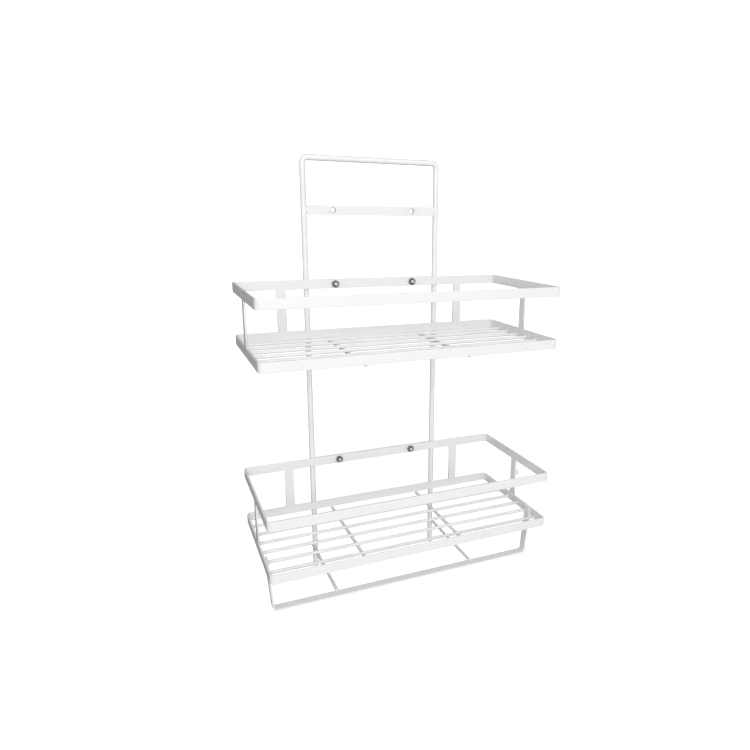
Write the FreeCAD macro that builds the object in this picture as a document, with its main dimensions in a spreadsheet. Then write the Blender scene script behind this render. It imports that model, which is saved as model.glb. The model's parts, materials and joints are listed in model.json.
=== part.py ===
# Two-tier shower caddy in welded steel wire and flat strip.
#
# A bent wire frame hangs on the wall by two screws. Two open baskets are bolted
# to it. A towel rail hangs under the lower one, and two struts hold its back
# edge to the frame's legs.
#
# Frame of the model: X runs along the baskets, the front faces -Y, Z is up.
# The origin lies midway between the two wall screw holes, on the front face of
# the top crossbar. The plane Y = 0 is also where the front of the frame and the
# backs of the baskets meet. Every size is in millimetres.

import FreeCAD
import Part
import Sketcher
import math
import os

doc = FreeCAD.newDocument("ShowerCaddy")


# ---------------------------------------------------------------- sizes

drivingSizes = [
    ("strip_width", 10, "flat strip, measured across its face"),
    ("strip_thick", 2, "flat strip, thickness"),
    ("leg_wire_dia", 6, "round wire of the back frame"),
    ("floor_wire_dia", 3.5, "round wire of the basket floors"),
    ("strut_wire_dia", 3.5, "round wire of the two struts"),
    ("leg_spacing", 153, "between the centre lines of the frame's legs"),
    ("frame_rise", 52.5, "hole line up to the centre line of the frame's top"),
    ("frame_bend_radius", 5.5, "frame's top corners, on the centre line"),
    ("leg_tail", 29.3, "legs below the centre line of the struts"),
    ("hole_spacing", 91, "between the two holes of a crossbar"),
    ("crossbar_end_radius", 1.5, "rounded corners at a crossbar's ends"),
    ("basket_drop", 73, "hole line down to the upper basket's top edge"),
    ("basket_pitch", 206, "from one basket to the next"),
    ("basket_width", 310, "outside, along X"),
    ("basket_depth", 141, "outside, along Y"),
    ("basket_height", 65, "top edge to bottom edge"),
    ("rim_corner_radius", 5, "outside corners of the rims"),
    ("rear_upright_spacing", 210, "between the centre lines of the rear uprights"),
    ("cross_wire_spacing", 110, "between the two wires under a floor"),
    ("cross_wire_inset", 8, "front end of those wires behind the basket's front"),
    ("towel_rail_drop", 48.7, "lower basket's bottom edge to the rail's underside"),
    ("towel_rail_reach", 107.5, "back of the baskets to the rail's centre line"),
    ("towel_rail_taper", 4, "how far each leg leans in on its way down"),
    ("towel_rail_bend_radius", 4.5, "outside corners of the towel rail"),
    ("strut_leg_lap", 2, "how far a strut runs back beside its leg"),
    ("peg_dia", 6, "peg on the lower basket's right side"),
    ("peg_length", 5.7, "how far the peg stands out"),
    ("peg_drop", 27.6, "basket's top edge down to the peg"),
    ("peg_edge_radius", 1.2, "rounded end of the peg"),
    ("screw_dia", 4, "basket screws"),
    ("hole_clearance", 1, "crossbar and rail holes over the screw, on the diameter"),
    ("screw_head_dia", 8, "pan head"),
    ("screw_head_thick", 2.6, "pan head"),
    ("screw_head_radius", 1.6, "rounded edge of the pan head"),
    ("screw_crown_in", 0.64, "middle point of that edge, inside the head's side"),
    ("screw_crown_down", 0.56, "the same point, below the head's top"),
    ("screw_tail", 1.4, "end of the screw beyond the nut"),
    ("screw_tip_chamfer", 0.4, "at the screw's tip"),
    ("nut_across_flats", 7, "hexagon nut"),
    ("nut_thick", 3.2, "hexagon nut"),
    ("nut_chamfer", 0.45, "on the nut's corners"),
    ("thread_clearance", 0.05, "nut's bore around the screw, on the radius"),
]

floorWireCount = 6

sizes = doc.addObject("Spreadsheet::Sheet", "Sizes")
for row, (alias, value, note) in enumerate(drivingSizes, start=1):
    sizes.set(f"A{row}", alias)
    sizes.set(f"B{row}", str(value))
    sizes.set(f"C{row}", note)
    sizes.setAlias(f"B{row}", alias)
doc.recompute()

# Formulas that several pieces share.
stripWidth = "Sizes.strip_width"
stripThick = "Sizes.strip_thick"
legRadius = "Sizes.leg_wire_dia / 2"
floorWireRadius = "Sizes.floor_wire_dia / 2"
strutRadius = "Sizes.strut_wire_dia / 2"
screwRadius = "Sizes.screw_dia / 2"
holeRadius = "(Sizes.screw_dia + Sizes.hole_clearance) / 2"
holeOffset = "Sizes.hole_spacing / 2"
halfWidth = "Sizes.basket_width / 2"
halfDepth = "Sizes.basket_depth / 2"
insideHalfWidth = f"({halfWidth} - {stripThick})"
insideHalfDepth = f"({halfDepth} - {stripThick})"
insideBend = f"(Sizes.rim_corner_radius - {stripThick})"

basketTops = {
    "upper_basket": "-Sizes.basket_drop",
    "lower_basket": "-(Sizes.basket_drop + Sizes.basket_pitch)",
}
crossbarNames = {
    "upper_basket": "middle_crossbar",
    "lower_basket": "lower_crossbar",
}
lowerBottom = f"({basketTops['lower_basket']} - Sizes.basket_height)"
railUnderside = f"({lowerBottom} - Sizes.towel_rail_drop)"
strutHeight = f"({railUnderside} + {stripThick} / 2)"
legEnd = f"({strutHeight} - Sizes.leg_tail)"

nodes = []


# ---------------------------------------------------------------- helpers

def number(formula):
    """The present value of a formula, for a sketch's first guess."""
    return float(sizes.evalExpression(formula.replace("Sizes.", "")))


def keep(thing, label):
    """Name a finished sub-part and list it for export."""
    thing.Label = label
    nodes.append(thing)
    return thing


def place(thing, x="0", y="0", z="0"):
    """Bind where a sub-part stands."""
    for axis, formula in zip("xyz", (x, y, z)):
        thing.setExpression(f"Placement.Base.{axis}", formula)


def block(label, length, width, height, x, y, z):
    """A straight length of strip: a box with its low corner at x, y, z."""
    strip = doc.addObject("Part::Box", label)
    strip.setExpression("Length", length)
    strip.setExpression("Width", width)
    strip.setExpression("Height", height)
    place(strip, x, y, z)
    return keep(strip, label)


def roundBar(name, direction, radius, length, x, y, z):
    """A round bar that starts at x, y, z and runs along a direction."""
    wire = doc.addObject("Part::Cylinder", name)
    turn = FreeCAD.Rotation(FreeCAD.Vector(0, 0, 1), direction)
    wire.Placement = FreeCAD.Placement(FreeCAD.Vector(), turn)
    wire.setExpression("Radius", radius)
    wire.setExpression("Height", length)
    place(wire, x, y, z)
    return wire


def straightWire(label, direction, radius, length, x, y, z):
    """A sub-part that is one straight round wire."""
    return keep(roundBar(label, direction, radius, length, x, y, z), label)


def newBody(name):
    return doc.addObject("PartDesign::Body", name)


def newSketch(body, name, planeRole):
    """An empty sketch on one of the body's own origin planes."""
    sketch = body.newObject("Sketcher::SketchObject", name)
    planes = [item for item in body.Origin.OriginFeatures if item.Role == planeRole]
    sketch.AttachmentSupport = [(planes[0], "")]
    sketch.MapMode = "FlatFace"
    return sketch


def drive(sketch, constraint, formula):
    """Add a dimension to a sketch and bind it to a formula."""
    index = sketch.addConstraint(constraint)
    sketch.setExpression(f"Constraints[{index}]", formula)


def drivePoint(sketch, edge, end, x, y):
    """Dimension one point from the sketch's origin; a zero puts it on an axis."""
    for kind, formula, axis in (("DistanceX", x, -2), ("DistanceY", y, -1)):
        if formula == "0":
            sketch.addConstraint(Sketcher.Constraint("PointOnObject", edge, end, axis))
        else:
            value = number(formula)
            drive(sketch, Sketcher.Constraint(kind, -1, 1, edge, end, value), formula)


def addOutline(sketch, corners):
    """A closed outline of straight lines with every corner dimensioned."""
    points = [FreeCAD.Vector(number(x), number(y), 0) for x, y in corners]
    first = sketch.GeometryCount
    for start, end in zip(points, points[1:] + points[:1]):
        sketch.addGeometry(Part.LineSegment(start, end), False)
    for step in range(len(corners)):
        following = (step + 1) % len(corners)
        sketch.addConstraint(
            Sketcher.Constraint("Coincident", first + step, 2, first + following, 1)
        )
    for step, (x, y) in enumerate(corners):
        drivePoint(sketch, first + step, 1, x, y)


def addRectangle(sketch, halfLength, halfBreadth):
    """A rectangle centred on the sketch's origin."""
    addOutline(sketch, [
        (f"-{halfLength}", f"-{halfBreadth}"),
        (halfLength, f"-{halfBreadth}"),
        (halfLength, halfBreadth),
        (f"-{halfLength}", halfBreadth),
    ])


def addCircle(sketch, x, y, radius):
    """A circle with its centre and radius dimensioned."""
    centre = FreeCAD.Vector(number(x), number(y), 0)
    up = FreeCAD.Vector(0, 0, 1)
    circle = sketch.addGeometry(Part.Circle(centre, up, number(radius)), False)
    drivePoint(sketch, circle, 3, x, y)
    drive(sketch, Sketcher.Constraint("Radius", circle, number(radius)), radius)


def pad(body, sketch, length, reverse=False, midplane=False):
    feature = body.newObject("PartDesign::Pad", body.Name + "Pad")
    feature.Profile = sketch
    feature.setExpression("Length", length)
    feature.Reversed = reverse
    if midplane:
        feature.SideType = "Symmetric"
    doc.recompute()
    return feature


def cornerEdges(feature, direction, isCorner):
    """Names of the straight edges along a direction whose middle passes a test."""
    found = []
    for index, edge in enumerate(feature.Shape.Edges, start=1):
        if edge.Curve.TypeId != "Part::GeomLine":
            continue
        if abs(edge.Curve.Direction.dot(direction)) < 0.999:
            continue
        if isCorner(edge.CenterOfMass):
            found.append(f"Edge{index}")
    return found


def roundEdges(body, feature, edges, radius):
    fillet = body.newObject("PartDesign::Fillet", body.Name + "Fillet")
    fillet.Base = (feature, edges)
    fillet.setExpression("Radius", radius)
    doc.recompute()
    return fillet


def copies(label, master, places):
    """One node made of separate copies of a master piece, at x, y, z formulas."""
    links = []
    for count, (x, y, z) in enumerate(places, start=1):
        link = doc.addObject("App::Link", f"{label}_{count}")
        link.LinkedObject = master
        link.LinkTransform = False
        place(link, x, y, z)
        links.append(link)
    group = doc.addObject("Part::Compound", label)
    group.Links = links
    return keep(group, label)


# ---------------------------------------------------------------- back frame

def makeBackFrame():
    """One wire bent into an upside-down U: two legs and the top between them."""
    body = newBody("BackFrame")
    half = "Sizes.leg_spacing / 2"
    bend = "Sizes.frame_bend_radius"
    shoulder = f"(Sizes.frame_rise - {bend})"

    path = newSketch(body, "FramePath", "XZ_Plane")
    side = number(half)
    inner = number(f"{half} - {bend}")
    top = number("Sizes.frame_rise")
    turn = number(shoulder)
    foot = number(legEnd)
    radius = number(bend)
    up = FreeCAD.Vector(0, 0, 1)
    point = FreeCAD.Vector
    leftBend = Part.Circle(point(-inner, turn, 0), up, radius)
    rightBend = Part.Circle(point(inner, turn, 0), up, radius)
    path.addGeometry([
        Part.LineSegment(point(-side, foot, 0), point(-side, turn, 0)),
        Part.ArcOfCircle(leftBend, math.pi / 2, math.pi),
        Part.LineSegment(point(-inner, top, 0), point(inner, top, 0)),
        Part.ArcOfCircle(rightBend, 0, math.pi / 2),
        Part.LineSegment(point(side, turn, 0), point(side, foot, 0)),
    ], False)
    path.addConstraint([
        Sketcher.Constraint("Tangent", 0, 2, 1, 2),
        Sketcher.Constraint("Tangent", 1, 1, 2, 1),
        Sketcher.Constraint("Tangent", 2, 2, 3, 2),
        Sketcher.Constraint("Tangent", 3, 1, 4, 1),
        Sketcher.Constraint("Vertical", 0),
        Sketcher.Constraint("Horizontal", 2),
        Sketcher.Constraint("Vertical", 4),
        Sketcher.Constraint("Equal", 1, 3),
    ])
    drive(path, Sketcher.Constraint("Radius", 1, radius), bend)
    drivePoint(path, 0, 1, f"-{half}", legEnd)
    drivePoint(path, 4, 2, half, legEnd)
    drive(path, Sketcher.Constraint("DistanceY", -1, 1, 2, 1, top), "Sizes.frame_rise")

    section = newSketch(body, "FrameSection", "XY_Plane")
    section.setExpression("AttachmentOffset.Base.z", legEnd)
    addCircle(section, f"-{half}", "0", legRadius)

    sweep = body.newObject("PartDesign::AdditivePipe", "FrameSweep")
    sweep.Profile = section
    sweep.Spine = (path, ["Edge1", "Edge2", "Edge3", "Edge4", "Edge5"])
    body.Tip = sweep
    place(body, y=legRadius)
    return keep(body, "back_frame_wire")


def makeCrossbar(label, height):
    """Strip welded between the legs, flush with their front, with two holes."""
    body = newBody(label.title().replace("_", ""))
    gap = f"sqrt(({legRadius}) ^ 2 - ({legRadius} - {stripThick}) ^ 2)"
    halfLength = f"(Sizes.leg_spacing / 2 - {gap})"
    halfBreadth = f"({stripWidth} / 2)"

    outline = newSketch(body, body.Name + "Outline", "XZ_Plane")
    addRectangle(outline, halfLength, halfBreadth)
    for sign in ("-", ""):
        addCircle(outline, f"{sign}{holeOffset}", "0", holeRadius)
    strip = pad(body, outline, stripThick, reverse=True)

    end = number(halfLength)
    corners = cornerEdges(
        strip, FreeCAD.Vector(0, 1, 0), lambda spot: abs(abs(spot.x) - end) < 0.01
    )
    roundEdges(body, strip, corners, "Sizes.crossbar_end_radius")
    place(body, z=height)
    return keep(body, label)


# ---------------------------------------------------------------- baskets

def makeRim(label, bottom, drilled):
    """A ring of strip standing on edge, bent at the corners and welded shut."""
    body = newBody(label.title().replace("_", ""))
    outline = newSketch(body, body.Name + "Outline", "XY_Plane")
    addRectangle(outline, halfWidth, halfDepth)
    addRectangle(outline, insideHalfWidth, insideHalfDepth)
    ring = pad(body, outline, stripWidth)

    upright = FreeCAD.Vector(0, 0, 1)
    outer = number(halfWidth)
    inner = number(insideHalfWidth)
    outside = cornerEdges(ring, upright, lambda spot: abs(abs(spot.x) - outer) < 0.01)
    shape = roundEdges(body, ring, outside, "Sizes.rim_corner_radius")
    inside = cornerEdges(shape, upright, lambda spot: abs(abs(spot.x) - inner) < 0.01)
    shape = roundEdges(body, shape, inside, insideBend)

    if drilled:
        drill = newSketch(body, body.Name + "Holes", "XZ_Plane")
        for sign in ("-", ""):
            addCircle(drill, f"{sign}{holeOffset}", f"{stripWidth} / 2", holeRadius)
        holes = body.newObject("PartDesign::Pocket", body.Name + "Pocket")
        holes.Profile = drill
        holes.Type = "ThroughAll"
        doc.recompute()
        body.Tip = holes
    place(body, y=f"-{halfDepth}", z=bottom)
    return keep(body, label)


def makeUprights(basket, top):
    """Four lengths of strip between the rims: two at the back, one each side."""
    length = f"(Sizes.basket_height - 2 * {stripWidth})"
    foot = f"({top} - Sizes.basket_height + {stripWidth})"
    offset = "Sizes.rear_upright_spacing / 2"
    rearLow = {
        "left": f"-{offset} - {stripWidth} / 2",
        "right": f"{offset} - {stripWidth} / 2",
    }
    sideLow = {
        "left": f"-{halfWidth}",
        "right": insideHalfWidth,
    }
    midway = f"-{halfDepth} - {stripWidth} / 2"
    for side in ("left", "right"):
        block(f"{basket}_rear_upright_{side}", stripWidth, stripThick, length,
              rearLow[side], f"-{stripThick}", foot)
        block(f"{basket}_side_upright_{side}", stripThick, stripWidth, length,
              sideLow[side], midway, foot)


def makeFloor(basket, top, stopsAtRail):
    """Long wires inside the lower rim, on two cross wires under its edge."""
    bottom = f"({top} - Sizes.basket_height)"
    for count in range(1, floorWireCount + 1):
        back = f"(Sizes.basket_depth * {count} / {floorWireCount + 1})"
        cut = "0"
        if stopsAtRail:
            # A wire that meets the towel rail's legs ends against them.
            reach = f"({stripWidth} + Sizes.floor_wire_dia) / 2"
            meets = f"abs({back} - Sizes.towel_rail_reach) < {reach}"
            cut = f"({meets} ? {stripThick} : 0)"
        halfLength = f"({insideHalfWidth} - {cut})"
        straightWire(f"{basket}_floor_wire_{count}", FreeCAD.Vector(1, 0, 0),
                     floorWireRadius, f"2 * {halfLength}",
                     f"-{halfLength}", f"-{back}", f"{bottom} + {floorWireRadius}")
    for side, sign in (("left", "-"), ("right", "")):
        straightWire(f"{basket}_cross_wire_{side}", FreeCAD.Vector(0, -1, 0),
                     floorWireRadius, "Sizes.basket_depth - Sizes.cross_wire_inset",
                     f"{sign}Sizes.cross_wire_spacing / 2", "0",
                     f"{bottom} - {floorWireRadius}")


def makeBasket(basket, top):
    isLower = basket == "lower_basket"
    makeRim(f"{basket}_top_rim", f"{top} - {stripWidth}", drilled=True)
    makeRim(f"{basket}_bottom_rim", f"{top} - Sizes.basket_height", drilled=False)
    makeUprights(basket, top)
    makeFloor(basket, top, stopsAtRail=isLower)


def makePeg():
    """A short peg on the outside of the lower basket's right side."""
    body = newBody("Peg")
    section = newSketch(body, "PegSection", "YZ_Plane")
    addCircle(section, "0", "0", "Sizes.peg_dia / 2")
    stem = pad(body, section, "Sizes.peg_length")
    tip = number("Sizes.peg_length")
    ends = []
    for index, edge in enumerate(stem.Shape.Edges, start=1):
        if edge.CenterOfMass.x > tip - 0.01:
            ends.append(f"Edge{index}")
    roundEdges(body, stem, ends, "Sizes.peg_edge_radius")
    place(body, halfWidth, f"-{halfDepth}",
          f"{basketTops['lower_basket']} - Sizes.peg_drop")
    return keep(body, "side_peg")


# ---------------------------------------------------------------- towel rail

def makeTowelRail():
    """Strip bent into a shallow U, its legs welded flat inside the lower rim."""
    body = newBody("TowelRail")
    upper = insideHalfWidth
    lower = f"({insideHalfWidth} - Sizes.towel_rail_taper)"
    rimEdge = "Sizes.towel_rail_drop"
    rimTop = f"(Sizes.towel_rail_drop + {stripWidth})"

    # Half of the outline, from the top of a leg down to the rail and back up.
    half = [
        (upper, rimTop),
        (f"({upper} - {stripThick})", rimTop),
        (f"({upper} - {stripThick})", rimEdge),
        (f"({lower} - {stripThick})", stripThick),
    ]
    closing = [(lower, "0"), (upper, rimEdge)]
    mirrored = [(f"-{x}", y) for x, y in half]
    outline = newSketch(body, "TowelRailOutline", "XZ_Plane")
    addOutline(
        outline,
        half + mirrored[::-1] + [(f"-{x}", y) for x, y in closing[::-1]] + closing,
    )
    strip = pad(body, outline, stripWidth, midplane=True)

    across = FreeCAD.Vector(0, 1, 0)
    thick = number(stripThick)
    outside = cornerEdges(strip, across, lambda spot: abs(spot.z) < 0.01)
    shape = roundEdges(body, strip, outside, "Sizes.towel_rail_bend_radius")
    corner = number(f"{lower} - {stripThick}")

    def isInsideBend(spot):
        return abs(abs(spot.x) - corner) < 0.01 and abs(spot.z - thick) < 0.01

    inside = cornerEdges(shape, across, isInsideBend)
    roundEdges(body, shape, inside, f"Sizes.towel_rail_bend_radius - {stripThick}")
    place(body, y="-Sizes.towel_rail_reach", z=railUnderside)
    return keep(body, "towel_rail")


def makeStruts():
    """Two wires from the outside of the legs to the towel rail's back edge."""
    length = f"Sizes.towel_rail_reach - {stripWidth} / 2 + Sizes.strut_leg_lap"
    cutterFoot = f"({strutHeight} - Sizes.strut_wire_dia)"
    for side, sign in (("left", "-"), ("right", "")):
        legAxis = f"{sign}Sizes.leg_spacing / 2"
        wire = roundBar(f"StrutWire_{side}", FreeCAD.Vector(0, -1, 0), strutRadius, length,
                        f"{legAxis} {sign or '+'} {legRadius}", "Sizes.strut_leg_lap",
                        strutHeight)
        legCutter = roundBar(f"StrutCope_{side}", FreeCAD.Vector(0, 0, 1), legRadius,
                             "2 * Sizes.strut_wire_dia", legAxis, legRadius, cutterFoot)
        # The end is coped to fit round the leg that it is welded to.
        strut = doc.addObject("Part::Cut", f"strut_{side}")
        strut.Base = wire
        strut.Tool = legCutter
        keep(strut, f"strut_{side}")


# ---------------------------------------------------------------- fasteners

def fastenerPlaces():
    """The four bolted joints: two holes on each basket's rear rail."""
    places = []
    for top in basketTops.values():
        for sign in ("-", ""):
            places.append((f"{sign}{holeOffset}", "0", f"{top} - {stripWidth} / 2"))
    return places


def makeScrews():
    """Pan-head screws put in from behind: one profile turned about its axis."""
    body = newBody("Screw")
    profile = newSketch(body, "ScrewProfile", "XY_Plane")
    seat = stripThick
    crown = f"({stripThick} + Sizes.screw_head_thick)"
    head = "Sizes.screw_head_dia / 2"
    edge = "Sizes.screw_head_radius"
    chamfer = "Sizes.screw_tip_chamfer"
    tip = f"-({stripThick} + Sizes.nut_thick + Sizes.screw_tail)"
    addOutline(profile, [
        ("0", tip),
        (f"{screwRadius} - {chamfer}", tip),
        (screwRadius, f"{tip} + {chamfer}"),
        (screwRadius, seat),
        (head, seat),
        (head, f"{crown} - {edge}"),
        (f"{head} - Sizes.screw_crown_in", f"{crown} - Sizes.screw_crown_down"),
        (f"{head} - {edge}", crown),
        ("0", crown),
    ])
    turned = body.newObject("PartDesign::Revolution", "ScrewTurned")
    turned.Profile = profile
    turned.ReferenceAxis = (profile, ["V_Axis"])
    turned.Angle = 360
    doc.recompute()
    return copies("basket_screws", body, fastenerPlaces())


def makeNuts():
    """Hexagon nuts on the front of the rear rails."""
    corner = "Sizes.nut_across_flats / sqrt(3)"
    towardsFront = FreeCAD.Rotation(FreeCAD.Vector(0, 0, 1), FreeCAD.Vector(0, -1, 0))

    def seated(kind, name):
        """A primitive as thick as the nut, standing on the front of the rail."""
        shape = doc.addObject(kind, name)
        shape.Placement = FreeCAD.Placement(FreeCAD.Vector(), towardsFront)
        shape.setExpression("Height", "Sizes.nut_thick")
        place(shape, y=f"-{stripThick}")
        return shape

    hexagon = seated("Part::Prism", "NutHexagon")
    hexagon.Polygon = 6
    hexagon.setExpression("Circumradius", corner)
    barrel = seated("Part::Cylinder", "NutBarrel")
    barrel.setExpression("Radius", corner)
    doc.recompute()
    turned = doc.addObject("Part::Chamfer", "NutBarrelChamfer")
    turned.Base = barrel
    chamfer = number("Sizes.nut_chamfer")
    rings = []
    for index, edge in enumerate(barrel.Shape.Edges, start=1):
        if edge.Curve.TypeId == "Part::GeomCircle":
            rings.append((index, chamfer / 2, chamfer))
    turned.Edges = rings

    blank = doc.addObject("Part::Common", "NutBlank")
    blank.Base = hexagon
    blank.Tool = turned
    bore = seated("Part::Cylinder", "NutBore")
    bore.setExpression("Radius", f"{screwRadius} + Sizes.thread_clearance")
    nut = doc.addObject("Part::Cut", "Nut")
    nut.Base = blank
    nut.Tool = bore
    return copies("basket_nuts", nut, fastenerPlaces())


# ---------------------------------------------------------------- the model

makeBackFrame()
makeCrossbar("top_crossbar", "0")
for basket, top in basketTops.items():
    makeCrossbar(crossbarNames[basket], f"{top} - {stripWidth} / 2")
    makeBasket(basket, top)
makePeg()
makeTowelRail()
makeStruts()
makeScrews()
makeNuts()
doc.recompute()

for item in doc.Objects:
    if "Invalid" in item.State or "Error" in item.State:
        raise RuntimeError(f"{item.Label} did not build: {item.State}")

os.makedirs("parts", exist_ok=True)
for node in nodes:
    shape = Part.getShape(node)
    if shape.isNull() or not shape.isValid() or not shape.Solids:
        raise RuntimeError(f"{node.Label} has no valid solid")
    shape.exportStep(f"parts/{node.Label}.step")
    print(node.Label, len(shape.Solids), "solid(s)")
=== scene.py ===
import json
import math
import bmesh
import bpy
from mathutils import Matrix, Vector, noise


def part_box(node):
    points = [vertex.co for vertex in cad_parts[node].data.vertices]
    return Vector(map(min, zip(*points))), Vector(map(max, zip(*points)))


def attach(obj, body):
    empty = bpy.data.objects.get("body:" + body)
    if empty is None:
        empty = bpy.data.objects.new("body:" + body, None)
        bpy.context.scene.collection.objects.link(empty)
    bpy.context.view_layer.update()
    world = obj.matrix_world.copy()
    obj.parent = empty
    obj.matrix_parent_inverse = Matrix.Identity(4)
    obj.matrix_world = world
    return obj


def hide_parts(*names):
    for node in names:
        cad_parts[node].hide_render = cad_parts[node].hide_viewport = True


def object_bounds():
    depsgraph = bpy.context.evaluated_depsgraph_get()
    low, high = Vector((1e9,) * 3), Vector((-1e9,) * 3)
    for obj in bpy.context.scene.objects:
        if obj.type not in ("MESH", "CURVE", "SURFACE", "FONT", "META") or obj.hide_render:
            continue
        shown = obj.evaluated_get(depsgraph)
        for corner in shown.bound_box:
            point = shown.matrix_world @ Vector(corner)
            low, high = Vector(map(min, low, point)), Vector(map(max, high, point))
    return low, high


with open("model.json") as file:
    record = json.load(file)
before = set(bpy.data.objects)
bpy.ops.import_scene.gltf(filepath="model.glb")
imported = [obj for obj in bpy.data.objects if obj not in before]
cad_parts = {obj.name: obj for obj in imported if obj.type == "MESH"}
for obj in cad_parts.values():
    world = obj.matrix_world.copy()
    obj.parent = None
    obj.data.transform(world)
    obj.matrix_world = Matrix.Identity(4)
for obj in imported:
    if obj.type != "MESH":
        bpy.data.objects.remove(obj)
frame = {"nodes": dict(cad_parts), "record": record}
cadLow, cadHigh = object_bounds()
print("packed model loaded:", len(frame["nodes"]), "nodes")

mm = 0.001
right, back, up = Vector((1, 0, 0)), Vector((0, 1, 0)), Vector((0, 0, 1))
baskets = ("upper_basket", "lower_basket")


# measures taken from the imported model
def boxOf(node):
    low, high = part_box(node)
    return low, high, (low + high) / 2


uprightLow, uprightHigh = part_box("upper_basket_rear_upright_right")
barWide = uprightHigh.x - uprightLow.x
barThick = uprightHigh.y - uprightLow.y
wallScrews = next(m for m in frame["record"]["mounts"] if m["name"] == "wall_screws")
holeSpread = wallScrews["dims"]["spacing_x_mm"] * mm / 2
holeRadius = wallScrews["dims"]["hole_r_mm"] * mm
nutLow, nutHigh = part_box("basket_nuts")
screwLow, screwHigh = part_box("basket_screws")


def wireOutline(radius, sides):
    def outline(inset):
        turns = [2 * math.pi * i / sides for i in range(sides)]
        return [((radius - inset) * math.cos(turn), (radius - inset) * math.sin(turn)) for turn in turns]
    return outline


def roundedBox(halfLong, halfWide, corner, steps):
    points = []
    for quarter, (sideU, sideV) in enumerate(((1, 1), (-1, 1), (-1, -1), (1, -1))):
        for step in range(steps + 1):
            turn = math.radians(90) * (quarter + step / steps)
            u = sideU * (halfLong - corner) + corner * math.cos(turn)
            v = sideV * (halfWide - corner) + corner * math.sin(turn)
            points.append((u, v))
    return points


sharpest = 0.04 * mm  # an edge is never rolled tighter than this


def barOutline(thick, wide, edge, steps):
    # flat bar with its four edges rolled round
    def outline(inset):
        rolled = max(edge - inset, sharpest)
        return roundedBox(thick / 2 - inset, wide / 2 - inset, rolled, steps)
    return outline


def bentPath(corners, bendRadii, steps, closed=False):
    # straight runs with an arc at each corner, as (place, heading) stations
    stations = []
    count = len(corners)
    for i, corner in enumerate(corners):
        if not closed and i in (0, count - 1):
            start, end = (corner, corners[1]) if i == 0 else (corners[-2], corner)
            stations.append((corner.copy(), (end - start).normalized()))
            continue
        before = (corner - corners[i - 1]).normalized()
        after = (corners[(i + 1) % count] - corner).normalized()
        bend = before.angle(after)
        axis = before.cross(after).normalized()
        start = corner - before * bendRadii[i] * math.tan(bend / 2)
        centre = start + axis.cross(before) * bendRadii[i]
        for step in range(steps + 1):
            turn = Matrix.Rotation(bend * step / steps, 3, axis)
            stations.append((centre + turn @ (start - centre), turn @ before))
    return stations


def joinRings(mesh, first, second):
    # either ring may be a single point
    count = max(len(first), len(second))
    for i in range(count):
        j = (i + 1) % count
        if len(first) == 1:
            mesh.faces.new((first[0], second[i], second[j]))
        elif len(second) == 1:
            mesh.faces.new((second[0], first[i], first[j]))
        else:
            mesh.faces.new((first[i], first[j], second[j], second[i]))


def skin(mesh, rings, closed=False):
    # faces from ring to ring, and over both ends unless the last ring runs on into the first
    for first, second in zip(rings, rings[1:]):
        joinRings(mesh, first, second)
    if closed:
        joinRings(mesh, rings[-1], rings[0])
        return
    for end in (rings[0], rings[-1]):
        if len(end) > 1:
            mesh.faces.new(end)


def sweep(mesh, stations, outline, across, closed=False, ease=0.0, easeSteps=4):
    # draws an outline along the stations, and eases both ends over so no cut end is sharp
    placed = [(place, heading, 0.0) for place, heading in stations]
    if ease > 0:
        (start, leaving), (end, arriving) = stations[0], stations[-1]
        first, last = [], []
        for step in range(easeSteps + 1):
            turn = math.radians(90) * step / easeSteps
            along, inset = ease * (1 - math.cos(turn)), ease * (1 - math.sin(turn))
            first.append((start + leaving * along, leaving, inset))
            last.append((end - arriving * along, arriving, inset))
        placed = first + placed[1:-1] + last[::-1]
    rings = []
    for place, heading, inset in placed:
        side = heading.cross(across).normalized()
        over = side.cross(heading).normalized()
        rings.append([mesh.verts.new(place + side * u + over * v) for u, v in outline(inset)])
    skin(mesh, rings, closed)


def spokes(axis, sides):
    # directions evenly spaced round an axis
    side = axis.orthogonal().normalized()
    over = axis.cross(side).normalized()
    turns = [2 * math.pi * i / sides for i in range(sides)]
    return [side * math.cos(turn) + over * math.sin(turn) for turn in turns]


def lathe(mesh, profile, origin, axis, sides, swell=None):
    # turns a profile of (radius, along) pairs about an axis; swell changes the radius round it
    rings = []
    for radius, along in profile:
        middle = origin + axis * along
        if radius == 0:
            rings.append([mesh.verts.new(middle)])
            continue
        points = []
        for i, outward in enumerate(spokes(axis, sides)):
            wide = radius * (swell(2 * math.pi * i / sides, along) if swell else 1)
            points.append(mesh.verts.new(middle + outward * wide))
        rings.append(points)
    skin(mesh, rings)


def quarterRound(centre, radius, fromTurn, toTurn, steps):
    # points of an arc in (radius, along) for a lathe profile; turns in degrees
    turns = [math.radians(fromTurn + (toTurn - fromTurn) * i / steps) for i in range(steps + 1)]
    return [(centre[0] + radius * math.cos(t), centre[1] + radius * math.sin(t)) for t in turns]


def makeObject(name, mesh):
    bmesh.ops.recalc_face_normals(mesh, faces=mesh.faces)
    data = bpy.data.meshes.new(name)
    mesh.to_mesh(data)
    mesh.free()
    data.shade_smooth()
    piece = bpy.data.objects.new(name, data)
    bpy.context.scene.collection.objects.link(piece)
    return piece


def cutAway(piece, cutter):
    cut = piece.modifiers.new("cut", "BOOLEAN")
    cut.operation = "DIFFERENCE"
    cut.solver = "EXACT"
    cut.object = cutter
    bpy.context.view_layer.update()
    shaped = bpy.data.meshes.new_from_object(piece.evaluated_get(bpy.context.evaluated_depsgraph_get()))
    shaped.materials.clear()
    piece.modifiers.clear()
    piece.data = shaped
    bpy.data.objects.remove(cutter)


holeSides = 40


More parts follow.
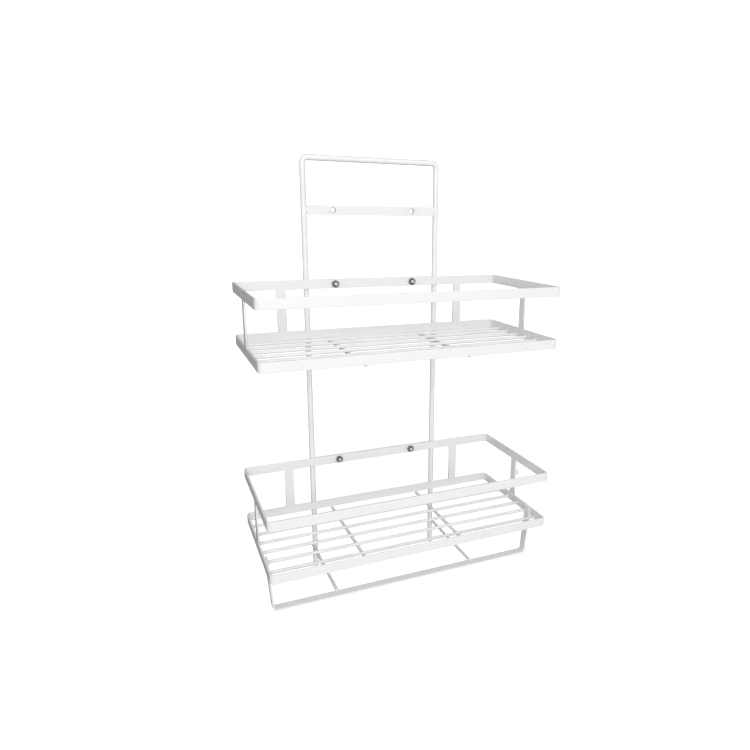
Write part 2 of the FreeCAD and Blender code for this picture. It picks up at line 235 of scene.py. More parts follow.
def punchHoles(piece, centres, radius, thick, lip):
    # round holes through along Y, both lips rolled over
    mesh = bmesh.new()
    half = thick / 2
    profile = [(0, -half - mm), (radius + lip, -half - mm)]
    profile += quarterRound((radius + lip, -half + lip), lip, 270, 180, 5)
    profile += quarterRound((radius + lip, half - lip), lip, 180, 90, 5)
    profile += [(radius + lip, half + mm), (0, half + mm)]
    for centre in centres:
        lathe(mesh, profile, centre, back, holeSides)
    cutAway(piece, makeObject("hole_punch", mesh))
    # faces round each hole take the second finish, a near-black painted shade in the hole
    for face in piece.data.polygons:
        nearest = min((face.center - centre).xz.length for centre in centres)
        face.material_index = int(nearest < radius + lip)


def fitPiece(piece, finishes, slot, *nodes):
    for finish in finishes:
        piece.data.materials.append(finish)
    piece.data.shade_smooth()
    shading = piece.modifiers.new("even shading", "WEIGHTED_NORMAL")
    shading.mode = "FACE_AREA"
    shading.weight = 60
    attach(piece, "root")
    if nodes:
        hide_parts(*nodes)


class Reading:  # what a socket gives, written with plain arithmetic
    def __init__(self, finish, socket):
        self.finish = finish
        self.socket = socket

    def reckon(self, operation, first, second):
        return self.finish.node("ShaderNodeMath", {"operation": operation}, {0: first, 1: second})

    def __add__(self, other):
        return self.reckon("ADD", self, other)

    def __radd__(self, other):
        return self.reckon("ADD", other, self)

    def __sub__(self, other):
        return self.reckon("SUBTRACT", self, other)

    def __rsub__(self, other):
        return self.reckon("SUBTRACT", other, self)

    def __mul__(self, other):
        return self.reckon("MULTIPLY", self, other)

    def __rmul__(self, other):
        return self.reckon("MULTIPLY", other, self)


class Finish:  # a material's or the studio air's recipe
    def __init__(self, owner, constants, place="Object"):
        owner.use_nodes = True
        self.owner = owner
        self.tree = owner.node_tree
        self.shader = next(n for n in self.tree.nodes if n.type in ("BSDF_PRINCIPLED", "BACKGROUND"))
        for socket, value in constants.items():
            self.shader.inputs[socket].default_value = value
        self.place = self.node("ShaderNodeTexCoord", output=place)

    def node(self, kind, settings=None, inputs=None, output=0):
        made = self.tree.nodes.new(kind)
        for setting, value in (settings or {}).items():
            setattr(made, setting, value)
        for socket, value in (inputs or {}).items():
            self.feed(made.inputs[socket], value)
        return Reading(self, made.outputs[output])

    def feed(self, socket, value):
        if isinstance(value, Reading):
            self.tree.links.new(value.socket, socket)
        else:
            socket.default_value = value

    def grain(self, size, detail=2.0, roughness=0.5, stretch=None):
        # soft noise of a given grain size in metres, 0 to 1
        place = self.place
        if stretch:
            place = self.node("ShaderNodeVectorMath", {"operation": "MULTIPLY"}, {0: place, 1: stretch})
        inputs = {"Vector": place, "Scale": 1 / size, "Detail": detail, "Roughness": roughness}
        return self.node("ShaderNodeTexNoise", {"noise_dimensions": "3D"}, inputs, "Fac")

    def between(self, value, low, high):
        # 0 below low, 1 above high, smooth in between
        settings = {"interpolation_type": "SMOOTHSTEP", "clamp": True}
        inputs = {"Value": value, "From Min": low, "From Max": high}
        return self.node("ShaderNodeMapRange", settings, inputs)

    def blend(self, amount, first, second):
        settings = {"data_type": "RGBA", "blend_type": "MIX"}
        ends = [tone if isinstance(tone, Reading) else (*tone, 1) for tone in (first, second)]
        return self.node("ShaderNodeMix", settings, {0: amount, 6: ends[0], 7: ends[1]}, output=2)

    def bump(self, height, distance, normal=None):
        inputs = {"Height": height, "Distance": distance, "Strength": 1.0}
        if normal:
            inputs["Normal"] = normal
        return self.node("ShaderNodeBump", None, inputs, "Normal")


powderCoat = {
    "thinTone": (0.85, 0.855, 0.862),  # where the powder lies thinner
    "cloudSize": 28 * mm,
    "patchSize": 6 * mm,
    "cloudShare": 0.6,  # large clouds against smaller patches
    "patchShare": 0.4,
    "thinFrom": 0.38,
    "thinTo": 0.66,
    "roughness": 0.28,
    "roughSpread": 0.06,
    "gloss": 0.35,  # weight of the clear top, less by glossLoss where the powder is thin
    "glossLoss": 0.2,
    "peelSize": 1.7 * mm,  # orange peel left by the powder as it flowed out
    "peelHeight": 0.02 * mm,
    "speckSize": 0.35 * mm,
    "speckHeight": 0.003 * mm,
}
# both coats carry painted edge shade: a darker tone laid where a surface is seen side-on to the camera
barCoat = {"tone": (0.875, 0.88, 0.885), "paintedEdgeShadeTone": (0.5, 0.51, 0.52), "paintedEdgeShadeFrom": 0.82}
# the wire coat is the same white powder painted lighter, a lit copy of the bar coat, with stronger painted
# edge shade
wireCoatPaintedLighter = {"tone": (0.93, 0.935, 0.94), "paintedEdgeShadeTone": (0.26, 0.265, 0.275), "paintedEdgeShadeFrom": 0.32}


def mixPowderCoat(name, look):
    finish = Finish(bpy.data.materials.new(name), {
        "IOR": 1.5,
        "Coat Roughness": 0.12,
        "Coat IOR": 1.5,
    })
    cloud = finish.grain(powderCoat["cloudSize"], detail=3)
    patch = finish.grain(powderCoat["patchSize"], detail=2)
    peel = finish.grain(powderCoat["peelSize"], detail=1.5)
    speck = finish.grain(powderCoat["speckSize"], detail=2)
    depth = cloud * powderCoat["cloudShare"] + patch * powderCoat["patchShare"]
    thin = finish.between(depth, powderCoat["thinFrom"], powderCoat["thinTo"])
    turnedAway = finish.node("ShaderNodeLayerWeight", None, {"Blend": 0.5}, "Facing")
    tone = finish.blend(thin, look["tone"], powderCoat["thinTone"])
    # painted edge shade: the tone darkens towards edges seen side-on, standing in for shade
    paintedEdgeShade = finish.between(turnedAway, look["paintedEdgeShadeFrom"], 1.0)
    finish.feed(finish.shader.inputs["Base Color"], finish.blend(paintedEdgeShade, tone, look["paintedEdgeShadeTone"]))
    spread = powderCoat["roughSpread"]
    rough = powderCoat["roughness"] + (patch - 0.5) * spread + (speck - 0.5) * spread
    finish.feed(finish.shader.inputs["Roughness"], rough)
    gloss = powderCoat["gloss"] - thin * powderCoat["glossLoss"]
    finish.feed(finish.shader.inputs["Coat Weight"], gloss)
    peeled = finish.bump(peel, powderCoat["peelHeight"])
    specked = finish.bump(speck, powderCoat["speckHeight"], normal=peeled)
    finish.feed(finish.shader.inputs["Normal"], specked)
    return finish.owner


steelGrain = {
    "mottleSize": 1.6 * mm,
    "drawnSize": 0.5 * mm,
    "drawnStretch": (1.0, 0.12, 1.0),  # long grains along Y
    "drawnHeight": 0.012 * mm,
    "pitSize": 0.22 * mm,
    "pitHeight": 0.006 * mm,
    "stainFrom": 0.42,
    "stainTo": 0.72,
    "stainRough": 0.18,
    "drawnRough": 0.16,
}
screwSteel = {"tone": (0.82, 0.82, 0.83), "stain": (0.6, 0.595, 0.59), "roughness": 0.38}
# the nuts are given a dark steel tone
nutSteel = {"tone": (0.2, 0.2, 0.21), "stain": (0.1, 0.1, 0.1), "roughness": 0.3}
# near-black steel laid on hole walls and lips as painted shade
paintedHoleShade = {"tone": (0.12, 0.12, 0.125), "stain": (0.06, 0.06, 0.06), "roughness": 0.5}


def mixSteel(name, look, metallic):
    finish = Finish(bpy.data.materials.new(name), {"Metallic": metallic})
    mottle = finish.grain(steelGrain["mottleSize"], detail=4, roughness=0.6)
    drawn = finish.grain(steelGrain["drawnSize"], detail=3, stretch=steelGrain["drawnStretch"])
    pits = finish.grain(steelGrain["pitSize"], detail=2)
    stain = finish.between(mottle, steelGrain["stainFrom"], steelGrain["stainTo"])
    finish.feed(finish.shader.inputs["Base Color"], finish.blend(stain, look["tone"], look["stain"]))
    uneven = stain * steelGrain["stainRough"] + (drawn - 0.5) * steelGrain["drawnRough"]
    finish.feed(finish.shader.inputs["Roughness"], look["roughness"] + uneven)
    lines = finish.bump(drawn, steelGrain["drawnHeight"])
    pitted = finish.bump(pits, steelGrain["pitHeight"], normal=lines)
    finish.feed(finish.shader.inputs["Normal"], pitted)
    return finish.owner


whiteBar = mixPowderCoat("white_powder_on_flat_bar_with_painted_edge_shade", barCoat)
whiteWire = mixPowderCoat("white_powder_on_wire", wireCoatPaintedLighter)
paintedHoleShadeFinish = mixSteel("hole_wall_painted_shade", paintedHoleShade, 0.3)
brightSteel = mixSteel("plain_screw_steel", screwSteel, 1.0)
darkSteel = mixSteel("dark_nut_steel", nutSteel, 1.0)
print("finishes mixed")


# wall frame: one bent wire and three punched crossbars
crossbars = ("top_crossbar", "middle_crossbar", "lower_crossbar")
wallFrame = {
    "wireSides": 32,
    "topBendRadius": 5.5 * mm,
    "bendSteps": 16,
    "endEase": 0.9 * mm,
    "barEdge": 0.5 * mm,
    "barCorner": 1.5 * mm,
    "cornerSteps": 8,
    "holeLip": 0.45 * mm,
}


def bendFrameWire():
    low, high, middle = boxOf("back_frame_wire")
    radius = (high.y - low.y) / 2
    legX, topZ = high.x - radius, high.z - radius
    corners = [
        Vector((-legX, middle.y, low.z)),
        Vector((-legX, middle.y, topZ)),
        Vector((legX, middle.y, topZ)),
        Vector((legX, middle.y, low.z)),
    ]
    bends = [wallFrame["topBendRadius"]] * 4
    mesh = bmesh.new()
    outline = wireOutline(radius, wallFrame["wireSides"])
    sweep(mesh, bentPath(corners, bends, wallFrame["bendSteps"]), outline, back, ease=wallFrame["endEase"])
    fitPiece(makeObject("wall_frame_wire", mesh), [whiteWire], "white_coated_steel", "back_frame_wire")


def pressCrossbar(node):
    # a flat blank with rounded corners, its edges eased, lying in XZ
    low, high, middle = boxOf(node)
    halfLong, halfHigh = (high.x - low.x) / 2, (high.z - low.z) / 2
    corner, steps = wallFrame["barCorner"], wallFrame["cornerSteps"]

    def outline(inset):
        return roundedBox(halfLong - inset, halfHigh - inset, corner - inset, steps)

    front, rear = Vector((middle.x, low.y, middle.z)), Vector((middle.x, high.y, middle.z))
    mesh = bmesh.new()
    sweep(mesh, [(front, back), (rear, back)], outline, up, ease=wallFrame["barEdge"])
    piece = makeObject(node + "_bar", mesh)
    centres = [Vector((side * holeSpread, middle.y, middle.z)) for side in (-1, 1)]
    punchHoles(piece, centres, holeRadius, barThick, wallFrame["holeLip"])
    fitPiece(piece, [whiteBar, paintedHoleShadeFinish], "white_coated_steel", node)


bendFrameWire()
for node in crossbars:
    pressCrossbar(node)
print("wall frame made")


# baskets: two flat-bar rims joined by four uprights, with a floor of wires
basketBar = {
    "edge": 0.6 * mm,
    "edgeSteps": 5,
    "cornerRadius": 5.0 * mm,
    "bendSteps": 12,
    "holeLip": 0.3 * mm,
    "jointSink": 0.45 * mm,  # how far an upright's end sinks into the rims' rolled edges
}
uprights = ("rear_upright_left", "rear_upright_right", "side_upright_left", "side_upright_right")
floorWire = {
    "sides": 20,
    "endEase": 0.5 * mm,
    "rimSink": 0.5 * mm,
}


def bendRim(node, punched):
    low, high, middle = boxOf(node)
    half = barThick / 2
    corners = [
        Vector((low.x + half, low.y + half, middle.z)),
        Vector((high.x - half, low.y + half, middle.z)),
        Vector((high.x - half, high.y - half, middle.z)),
        Vector((low.x + half, high.y - half, middle.z)),
    ]
    bends = [basketBar["cornerRadius"] - half] * 4
    outline = barOutline(barThick, high.z - low.z, basketBar["edge"], basketBar["edgeSteps"])
    mesh = bmesh.new()
    sweep(mesh, bentPath(corners, bends, basketBar["bendSteps"], closed=True), outline, up, closed=True)
    piece = makeObject(node + "_bar", mesh)
    if punched:
        centres = [Vector((side * holeSpread, high.y - half, middle.z)) for side in (-1, 1)]
        punchHoles(piece, centres, holeRadius, barThick, basketBar["holeLip"])
    fitPiece(piece, [whiteBar, paintedHoleShadeFinish] if punched else [whiteBar], "white_coated_steel", node)


def cutUpright(node):
    low, high, middle = boxOf(node)
    wideAcross = right if high.x - low.x > high.y - low.y else back
    sink = basketBar["jointSink"]
    stations = [
        (Vector((middle.x, middle.y, low.z - sink)), up),
        (Vector((middle.x, middle.y, high.z + sink)), up),
    ]
    outline = barOutline(barThick, barWide, basketBar["edge"], basketBar["edgeSteps"])
    mesh = bmesh.new()
    sweep(mesh, stations, outline, wideAcross)
    fitPiece(makeObject(node + "_bar", mesh), [whiteBar], "white_coated_steel", node)


def wiresOf(basket, kind):
    return sorted(n for n in frame["nodes"] if n.startswith(basket + "_" + kind))


def layFloor(basket):
    wires, crossWires = wiresOf(basket, "floor_wire"), wiresOf(basket, "cross_wire")
    mesh = bmesh.new()
    for node in wires:
        low, high, middle = boxOf(node)
        outline = wireOutline((high.z - low.z) / 2, floorWire["sides"])
        sink = right * floorWire["rimSink"]
        ends = [Vector((low.x, middle.y, middle.z)) - sink, Vector((high.x, middle.y, middle.z)) + sink]
        sweep(mesh, [(ends[0], right), (ends[1], right)], outline, up)
    for node in crossWires:
        low, high, middle = boxOf(node)
        outline = wireOutline((high.z - low.z) / 2, floorWire["sides"])
        ends = [Vector((middle.x, low.y, middle.z)), Vector((middle.x, high.y, middle.z))]
        sweep(mesh, [(ends[0], back), (ends[1], back)], outline, up, ease=floorWire["endEase"])
    piece = makeObject(basket + "_floor_grid", mesh)
    fitPiece(piece, [whiteWire], "white_coated_steel", *wires, *crossWires)


for basket in baskets:
    bendRim(basket + "_top_rim", punched=True)
    bendRim(basket + "_bottom_rim", punched=False)
    for where in uprights:
        cutUpright(basket + "_" + where)
    layFloor(basket)
    print(basket, "made")


# towel rail, its two struts and the small peg
towelRail = {
    "edge": 0.6 * mm,
    "lap": 10.0 * mm,  # height that lies inside the lower rim
    "lapBend": 12.0 * mm,
    "cornerBend": 3.5 * mm,
    "taper": 4.0 * mm,  # how far each side leans in on its way down
    "strutSides": 24,
    "strutEase": 0.6 * mm,
    "strutSink": 0.5 * mm,  # into the rail's rolled back edge
}
peg = {
    "foot": 0.9 * mm,  # length of the weld's foot
    "footRound": 0.54 * mm,
    "sunk": 0.3 * mm,
    "edge": 1.2 * mm,
    "crown": 0.25 * mm,  # height of the domed end, nearly flat within flatShare of the radius
    "flatShare": 0.35,
    "flatRise": 0.0375 * mm,
    "sides": 40,
}


def bendTowelRail():
    low, high, middle = boxOf("towel_rail")
    half = barThick / 2
    drop = high.z - low.z - towelRail["lap"]
    lean = math.hypot(drop, towelRail["taper"]) / drop
    bottomX = high.x - towelRail["taper"] * (drop - half) / drop - half * lean
    lapX, lapZ = high.x - half, high.z - towelRail["lap"]
    corners = [
        Vector((-lapX, middle.y, high.z)),
        Vector((-lapX, middle.y, lapZ)),
        Vector((-bottomX, middle.y, low.z + half)),
        Vector((bottomX, middle.y, low.z + half)),
        Vector((lapX, middle.y, lapZ)),
        Vector((lapX, middle.y, high.z)),
    ]
    lapBend, cornerBend = towelRail["lapBend"], towelRail["cornerBend"]
    bends = [0, lapBend, cornerBend, cornerBend, lapBend, 0]
    outline = barOutline(barThick, high.y - low.y, towelRail["edge"], basketBar["edgeSteps"])
    mesh = bmesh.new()
    path = bentPath(corners, bends, basketBar["bendSteps"])
    sweep(mesh, path, outline, back, ease=towelRail["edge"])
    fitPiece(makeObject("towel_rail_bar", mesh), [whiteBar], "white_coated_steel", "towel_rail")


def cutStrut(node):
    low, high, middle = boxOf(node)
    outline = wireOutline((high.z - low.z) / 2, towelRail["strutSides"])
    front = low.y - towelRail["strutSink"]
    ends = [Vector((middle.x, front, middle.z)), Vector((middle.x, high.y, middle.z))]
    mesh = bmesh.new()
    sweep(mesh, [(ends[0], back), (ends[1], back)], outline, up, ease=towelRail["strutEase"])
    fitPiece(makeObject(node + "_wire", mesh), [whiteWire], "white_coated_steel", node)


def turnPeg():
    low, high, middle = boxOf("side_peg")
    radius, long = (high.z - low.z) / 2, high.x - low.x
    edge, crown, wide = peg["edge"], peg["crown"], radius + peg["footRound"]
    profile = [(0, -peg["sunk"]), (wide, -peg["sunk"]), (wide, 0)]
    profile += quarterRound((wide, peg["foot"]), peg["footRound"], 270, 180, 6)[1:]
    profile += quarterRound((radius - edge, long - edge - crown), edge, 0, 80, 8)
    profile += [(radius * peg["flatShare"], long - peg["flatRise"]), (0, long)]
    mesh = bmesh.new()
    lathe(mesh, profile, Vector((low.x, middle.y, middle.z)), right, peg["sides"])
    fitPiece(makeObject("side_peg_turned", mesh), [whiteWire], "white_coated_steel", "side_peg")


bendTowelRail()
for node in ("strut_left", "strut_right"):
    cutStrut(node)
turnPeg()
print("towel rail, struts and peg made")


# screws and nuts that hold the baskets to the crossbars
screw = {
    "radius": 2.0 * mm,
    "pitch": 0.7 * mm,
    "threadDepth": 0.36 * mm,
    "threadSharp": 1.2,
    "threadSides": 32,
    "rowsPerPitch": 8,
    "headRadius": 4.0 * mm,
    "headRound": 1.6 * mm,
    "headUnder": 0.25 * mm,  # rounding where the head meets the crossbar
    "headSides": 48,
    "flatShare": 0.3,  # the middle of the head, nearly flat, against its radius
    "flatRise": 0.01 * mm,
    "overlap": 0.2 * mm,  # shank into head, and recess cutter beyond the head
    "recessLong": 2.2 * mm,
    "recessWide": 0.75 * mm,
    "recessDeep": 1.5 * mm,
    "recessTaper": 0.5,
    "tipChamfer": 0.45 * mm,
}
nut = {
    "acrossFlats": 7.0 * mm,
    "turns": (34, 24, 12, -8),  # degrees each was left at when tight
    "threadRadius": 2.05 * mm,
    "countersink": 0.35 * mm,
    "sides": 72,
    "rows": 12,
    "coneFrom": 0.97,  # cone's radius at a face, as a share of half the flats
    "coneSlope": 1.9,
}


def screwPlaces():
    rows = [boxOf(n)[2].z for n in ("middle_crossbar", "lower_crossbar")]
    return [(side * holeSpread, z) for z in rows for side in (-1, 1)]


def threadShank(mesh, origin, axis, long):
    # rows of points whose radius follows a helix, so the ridges run round as a real thread
    radius, sides = screw["radius"], screw["threadSides"]
    rows = max(2, round(long / screw["pitch"] * screw["rowsPerPitch"]))
    rings = []
    for row in range(rows + 1):
        along = long * row / rows
        chamfer = min(1.0, (long - along) / screw["tipChamfer"])
        points = []
        for i, outward in enumerate(spokes(axis, sides)):
            ridge = abs((along / screw["pitch"] - i / sides) % 1 * 2 - 1)
            wide = radius - screw["threadDepth"] * (1 - ridge) ** screw["threadSharp"]
            wide = min(wide, radius - screw["tipChamfer"] * (1 - chamfer))
            points.append(mesh.verts.new(origin + axis * along + outward * wide))
        rings.append(points)
    skin(mesh, rings)


def headProfile(headHigh):
    under, roll, radius = screw["headUnder"], screw["headRound"], screw["headRadius"]
    profile = [(0, 0), (radius - under, 0)]
    profile += quarterRound((radius - under, under), under, 270, 360, 3)[1:]
    profile += quarterRound((radius - roll, headHigh - roll), roll, 0, 78, 9)
    profile += [(radius * screw["flatShare"], headHigh - screw["flatRise"]), (0, headHigh)]
    return profile


def addRecess(mesh, top):
    # a tapered cross, to be cut out of a head
    corners = []
    for deep, grow in ((0, 1.0), (screw["recessDeep"], screw["recessTaper"])):
        long, wide = screw["recessLong"] * grow, screw["recessWide"] / 2 * grow
        quarter = ((wide, long), (wide, wide), (long, wide))
        for turn in range(4):
            spin = Matrix.Rotation(math.radians(90) * turn, 3, back)
            for u, v in quarter:
                corners.append(mesh.verts.new(top - back * deep + spin @ (right * u + up * v)))
    half = len(corners) // 2
    skin(mesh, [corners[:half], corners[half:]])


def turnScrews():
    seatY = boxOf("middle_crossbar")[1].y  # the back face, where the head bears
    headHigh, overlap = screwHigh.y - seatY, screw["overlap"]
    heads, shanks, recess = bmesh.new(), bmesh.new(), bmesh.new()
    for x, z in screwPlaces():
        seat = Vector((x, seatY, z))
        lathe(heads, headProfile(headHigh), seat, back, screw["headSides"])
        threadShank(shanks, seat + back * overlap, -back, seatY + overlap - screwLow.y)
        addRecess(recess, seat + back * (headHigh + overlap))
    headPiece = makeObject("basket_screw_heads", heads)
    cutAway(headPiece, makeObject("recess_punch", recess))
    fitPiece(headPiece, [brightSteel], "fastener_steel")
    shankPiece = makeObject("basket_screw_threads", shanks)
    fitPiece(shankPiece, [brightSteel], "fastener_steel", "basket_screws")


def nutRadius(turn, depth):
    # a hexagon, its corners turned back by a cone on each face
    flat, sixth = nut["acrossFlats"] / 2, math.pi / 3
    hexagon = flat / math.cos((turn + sixth / 2) % sixth - sixth / 2)
    return min(hexagon, flat * nut["coneFrom"] + depth * nut["coneSlope"])


def cutNuts():
    low, high = nutLow.y, nutHigh.y
    thick, rows, sides = high - low, nut["rows"], nut["sides"]
    sink, bore = nut["countersink"], nut["threadRadius"]
    outside = [(None, thick * row / rows) for row in range(rows + 1)]
    profile = [(bore, sink), (bore + sink, 0), *outside, (bore + sink, thick), (bore, thick - sink)]
    mesh = bmesh.new()
    for (x, z), degrees in zip(screwPlaces(), nut["turns"]):
        rings = []
        for radius, along in profile:
            points = []
            for i in range(sides):
                turn = 2 * math.pi * i / sides
                wide = radius or nutRadius(turn, min(along, thick - along))
                turn += math.radians(degrees)
                spot = Vector((x - wide * math.sin(turn), high - along, z + wide * math.cos(turn)))
                points.append(mesh.verts.new(spot))
            rings.append(points)
        skin(mesh, rings, closed=True)
    fitPiece(makeObject("basket_nuts_hex", mesh), [darkSteel], "fastener_steel", "basket_nuts")


turnScrews()
cutNuts()
print("screws and nuts made")


# weld metal, lumpy and coated over
weld = {
    "lump": 0.16,  # how uneven a weld is, against its own size
    "lumpSize": 1.3 * mm,
    "nuggetRows": 10,
    "nuggetSides": 18,
    "collar": 0.8 * mm,  # how far a collar stands out round a wire's end
    "collarLong": 1.3 * mm,
    "collarSunk": 0.25 * mm,  # into the face that the wire ends on
    "collarThin": 0.06 * mm,  # how far its thin end dips into the wire
    "collarLump": 0.7,
    "collarSteps": 6,
    "collarSides": 24,
    "seamStep": 0.5 * mm,
    "seamSides": 10,
    "seamTaper": 0.3,
    "seamTip": 0.02,  # keeps the very ends from closing to a point
    "ripple": 0.12,
    "rippleTurn": 2.1,  # radians from one step of a seam to the next
}
frameWeld = {
    "beside": (1.7 * mm, 1.15 * mm, 3.1 * mm),  # half sizes of the lump between bar and leg
    "besideOut": 0.9 * mm,  # from the bar's end
    "besideBack": 0.1 * mm,  # from the bar's middle
    "behind": (1.2 * mm, 1.0 * mm, 3.6 * mm),
    "behindIn": 0.1 * mm,
    "behindBack": 0.4 * mm,  # from the bar's back face
}
basketWeld = {
    "crossing": (1.9 * mm, 1.9 * mm, 0.75 * mm),
    "rim": (2.1 * mm, 1.1 * mm, 0.8 * mm),
    "seam": 0.5 * mm,
    "seamShort": 0.5 * mm,  # stops this far inside an upright's edges
    "seamSunk": 0.38 * mm,  # below an upright's face
}
railWeld = {
    "seam": 0.6 * mm,
    "seamShort": 1.0 * mm,  # stops this far inside the rail's edges
    "seamSunk": 0.2 * mm,
    "topDown": 0.5 * mm,  # upper seam, from the rail's top
    "footUp": 0.3 * mm,  # lower seam, from the foot of the lap
    "collar": (0.9 * mm, 1.7 * mm),
    "collarSunk": 0.1 * mm,
    "strut": (2.2 * mm, 1.3 * mm, 0.75 * mm),
    "strutSunk": 0.3 * mm,
    "strutUp": 0.9 * mm,
    "leg": (1.6 * mm, 1.3 * mm, 1.5 * mm),
    "legSunk": 0.1 * mm,
    "legSpread": 1.1 * mm,  # one lump this far above the strut, one below
}


def unevenness(place):
    return noise.noise(place / weld["lumpSize"]) * 2


def nugget(mesh, centre, halfSizes):
    # a pressed lump of metal
    rows, sides = weld["nuggetRows"], weld["nuggetSides"]
    rings = []
    for row in range(rows + 1):
        tilt = math.pi * row / rows
        if row in (0, rows):
            rings.append([mesh.verts.new(centre + up * halfSizes[2] * math.cos(tilt))])
            continue
        points = []
        for i in range(sides):
            turn = 2 * math.pi * i / sides
            way = Vector((math.sin(tilt) * math.cos(turn), math.sin(tilt) * math.sin(turn), math.cos(tilt)))
            place = Vector(way[k] * halfSizes[k] for k in range(3))
            points.append(mesh.verts.new(centre + place * (1 + weld["lump"] * unevenness(centre + place))))
        rings.append(points)
    skin(mesh, rings)


def collar(mesh, place, axis, wireRadius, grow=weld["collar"], long=weld["collarLong"]):
    # a fillet round a wire where it meets a face; axis points away from the face
    profile = [(wireRadius + grow, -weld["collarSunk"])]
    for step in range(weld["collarSteps"] + 1):
        t = step / weld["collarSteps"]
        profile.append((wireRadius - weld["collarThin"] + grow * (1 - t) ** 2, long * t))

    def swell(turn, along):
        spot = place + Vector((math.cos(turn) * mm, math.sin(turn) * mm, along))
        fade = max(0.0, 1 - max(along, 0) / long)
        return 1 + weld["lump"] * weld["collarLump"] * fade * unevenness(spot)

    lathe(mesh, profile, place, axis, weld["collarSides"], swell)


def seam(mesh, start, end, radius):
    # a thin rippled bead run from start to end
    run = end - start
    steps = round(run.length / weld["seamStep"])
    around = spokes(run.normalized(), weld["seamSides"])
    rings = []
    for step in range(steps + 1):
        t = step / steps
        place = start.lerp(end, t)
        inside = min(max(t, weld["seamTip"]), 1 - weld["seamTip"])
        fade = math.sin(math.pi * inside) ** weld["seamTaper"]
        ripple = 1 + weld["ripple"] * math.sin(step * weld["rippleTurn"]) + weld["lump"] * unevenness(place)
        rings.append([mesh.verts.new(place + outward * radius * fade * ripple) for outward in around])
    skin(mesh, rings)


def weldFrame():
    mesh = bmesh.new()
    for node in crossbars:
        high, middle = boxOf(node)[1:]
        for side in (-1, 1):
            x, y = side * (high.x + frameWeld["besideOut"]), middle.y + frameWeld["besideBack"]
            nugget(mesh, Vector((x, y, middle.z)), frameWeld["beside"])
            x, y = side * (high.x - frameWeld["behindIn"]), high.y + frameWeld["behindBack"]
            nugget(mesh, Vector((x, y, middle.z)), frameWeld["behind"])
    fitPiece(makeObject("wall_frame_welds", mesh), [whiteBar], "white_coated_steel")


def weldBasket(basket):
    mesh = bmesh.new()
    crossWires = wiresOf(basket, "cross_wire")
    for node in wiresOf(basket, "floor_wire"):
        low, high, middle = boxOf(node)
        radius = (high.z - low.z) / 2
        collar(mesh, Vector((low.x, middle.y, middle.z)), right, radius)
        collar(mesh, Vector((high.x, middle.y, middle.z)), -right, radius)
        for crossing in crossWires:
            nugget(mesh, Vector((boxOf(crossing)[2].x, middle.y, low.z)), basketWeld["crossing"])
    rearY = boxOf(basket + "_bottom_rim")[1].y - barThick / 2
    for crossing in crossWires:
        high, middle = boxOf(crossing)[1:]
        nugget(mesh, Vector((middle.x, rearY, high.z)), basketWeld["rim"])
    reach = barWide / 2 - basketWeld["seamShort"]
    for where in uprights:
        low, high, middle = boxOf(basket + "_" + where)
        along, square = (right, back) if where.startswith("rear") else (back, right)
        for z in (low.z, high.z):
            for face in (-1, 1):
                out = square * face * (barThick / 2 - basketWeld["seamSunk"])
                centre = Vector((middle.x, middle.y, z)) + out
                seam(mesh, centre - along * reach, centre + along * reach, basketWeld["seam"])
    fitPiece(makeObject(basket + "_welds", mesh), [whiteBar], "white_coated_steel")


def weldTowelRail():
    mesh = bmesh.new()
    railLow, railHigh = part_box("towel_rail")
    frontY, rearY = railLow.y + railWeld["seamShort"], railHigh.y - railWeld["seamShort"]
    foot = railHigh.z - towelRail["lap"]
    for side in (-1, 1):
        x = side * (railHigh.x - railWeld["seamSunk"])
        for z in (railHigh.z - railWeld["topDown"], foot + railWeld["footUp"]):
            seam(mesh, Vector((x, frontY, z)), Vector((x, rearY, z)), railWeld["seam"])
    legLow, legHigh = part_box("back_frame_wire")
    legX = legHigh.x - (legHigh.y - legLow.y) / 2
    for side, node in ((-1, "strut_left"), (1, "strut_right")):
        low, high, middle = boxOf(node)
        butt = Vector((middle.x, railHigh.y - railWeld["collarSunk"], middle.z))
        collar(mesh, butt, back, (high.z - low.z) / 2, *railWeld["collar"])
        y, z = railHigh.y - railWeld["strutSunk"], middle.z + railWeld["strutUp"]
        nugget(mesh, Vector((middle.x, y, z)), railWeld["strut"])
        x, y = (side * legX + middle.x) / 2, legLow.y + railWeld["legSunk"]
        for way in (-1, 1):
            nugget(mesh, Vector((x, y, middle.z + way * railWeld["legSpread"])), railWeld["leg"])
    fitPiece(makeObject("towel_rail_welds", mesh), [whiteBar], "white_coated_steel")


weldFrame()
for basket in baskets:
    weldBasket(basket)
weldTowelRail()
print("welds laid")


studio = {
    "floorDrop": 1.1,  # metres from the middle of the caddy down to the floor
    "floorRadius": 2.6,
    "sweepRadius": 1.8,
    "height": 3.4,
    "sweepSteps": 16,
    "sides": 96,
    "paperCloud": 0.9,  # size of the paper's faint clouds, in metres
    "paperTones": ((0.95, 0.955, 0.96), (0.97, 0.97, 0.97)),
    "glowTones": ((0.98, 0.98, 0.98), (1.0, 1.0, 1.0)),
    "paperGlow": 0.55,
    "airColour": (0.975, 0.985, 1.0),
    "airMiddle": 0.51,  # light from the sides
    "airFront": 0.37,  # how much brighter the front is than the sides, and the back darker
    "airTop": 0.16,
}
softBoxes = {
    "key_box": {
        "place": (-0.34, -1.15, 0.32),
        "size": (0.7, 0.7),
        "watts": 5.6,
        "colour": (1.0, 0.998, 0.99),
    },
    "rear_box": {
        "place": (1.3, 1.6, -0.4),
        "size": (0.8, 0.8),
        "watts": 4.0,
        "colour": (1.0, 1.0, 1.0),
    },
}


def mixBackdrop():
    finish = Finish(bpy.data.materials.new("pale_studio_paper"), {
        "Roughness": 0.9,
        "Specular IOR Level": 0.1,
        "Emission Strength": studio["paperGlow"],
    })
    cloud = finish.grain(studio["paperCloud"], detail=2)
    paper = finish.blend(cloud, *studio["paperTones"])
    finish.feed(finish.shader.inputs["Base Color"], paper)
    glow = finish.blend(cloud, *studio["glowTones"])
    finish.feed(finish.shader.inputs["Emission Color"], glow)
    return finish.owner


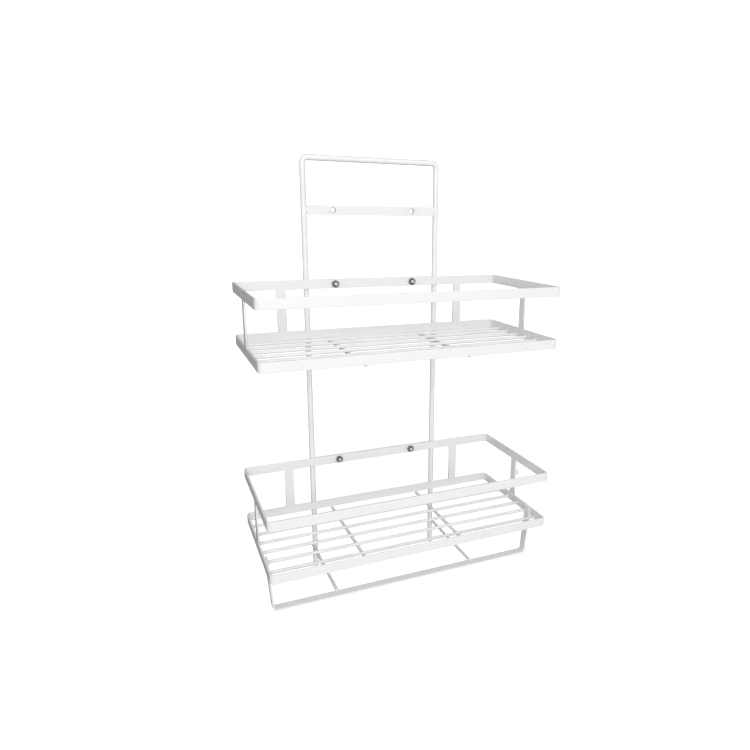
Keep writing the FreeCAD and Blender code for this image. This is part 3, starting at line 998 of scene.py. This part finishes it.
def hangBackdrop():
    # a round paper sweep: floor, curved wall and a closed top, seen by the camera but shading nothing
    middle = (cadLow + cadHigh) / 2
    floorRadius, sweepRadius, height = studio["floorRadius"], studio["sweepRadius"], studio["height"]
    steps = studio["sweepSteps"]
    profile = [(0, 0)]
    profile += quarterRound((floorRadius, sweepRadius), sweepRadius, 270, 360, steps)
    profile += quarterRound((floorRadius, height), sweepRadius, 0, 90, steps)
    profile += [(0, height + sweepRadius)]
    mesh = bmesh.new()
    lathe(mesh, profile, middle - up * studio["floorDrop"], up, studio["sides"])
    paper = makeObject("studio_sweep", mesh)
    paper.data.materials.append(mixBackdrop())
    paper.visible_diffuse = False
    paper.visible_glossy = False
    paper.visible_shadow = False


def hangSoftBox(name, look, target):
    light = bpy.data.lights.new(name, "AREA")
    light.shape = "RECTANGLE"
    light.size, light.size_y = look["size"]
    light.energy = look["watts"]
    light.color = look["colour"]
    box = bpy.data.objects.new(name, light)
    box.location = look["place"]
    box.rotation_mode = "QUATERNION"
    box.rotation_quaternion = (target - Vector(look["place"])).to_track_quat("-Z", "Y")
    bpy.context.scene.collection.objects.link(box)


def lightStudio():
    # the air is brightest in front of the caddy and fades towards the wall behind it
    air = Finish(bpy.data.worlds.new("studio_air"), {"Color": (*studio["airColour"], 1)}, place="Generated")
    depth = air.node("ShaderNodeSeparateXYZ", None, {0: air.place}, output="Y")
    height = air.node("ShaderNodeSeparateXYZ", None, {0: air.place}, output="Z")
    glow = studio["airMiddle"] - depth * studio["airFront"] + height * studio["airTop"]
    air.feed(air.shader.inputs["Strength"], glow)
    bpy.context.scene.world = air.owner
    for name, look in softBoxes.items():
        hangSoftBox(name, look, (cadLow + cadHigh) / 2)


camera = {
    "place": (-0.23772, -0.67256, -0.00289),
    "yaw": 24.36,
    "pitch": -15.03,
    "roll": 0.87,
    "lens": 29.956,
    "shift": (-0.068, 0.0092),
    "sensor": 36,
    "clip": (0.01, 100),
}


def placeCamera():
    yaw, pitch, roll = (math.radians(camera[k]) for k in ("yaw", "pitch", "roll"))
    forward = Vector((math.sin(yaw) * math.cos(pitch), math.cos(yaw) * math.cos(pitch), math.sin(pitch)))
    level = Vector((math.cos(yaw), -math.sin(yaw), 0))
    head = level.cross(forward)
    sideways = level * math.cos(roll) + head * math.sin(roll)
    upward = head * math.cos(roll) - level * math.sin(roll)
    data = bpy.data.cameras.new("studio_camera")
    data.sensor_width = camera["sensor"]
    data.lens = camera["lens"]
    data.shift_x, data.shift_y = camera["shift"]
    data.clip_start, data.clip_end = camera["clip"]
    made = bpy.data.objects.new("studio_camera", data)
    made.matrix_world = Matrix((sideways, upward, -forward)).transposed().to_4x4()
    made.location = camera["place"]
    bpy.context.scene.collection.objects.link(made)
    bpy.context.scene.camera = made


hangBackdrop()
lightStudio()
placeCamera()
bpy.context.scene.view_settings.view_transform = "Standard"
print("studio ready")

bpy.context.view_layer.update()
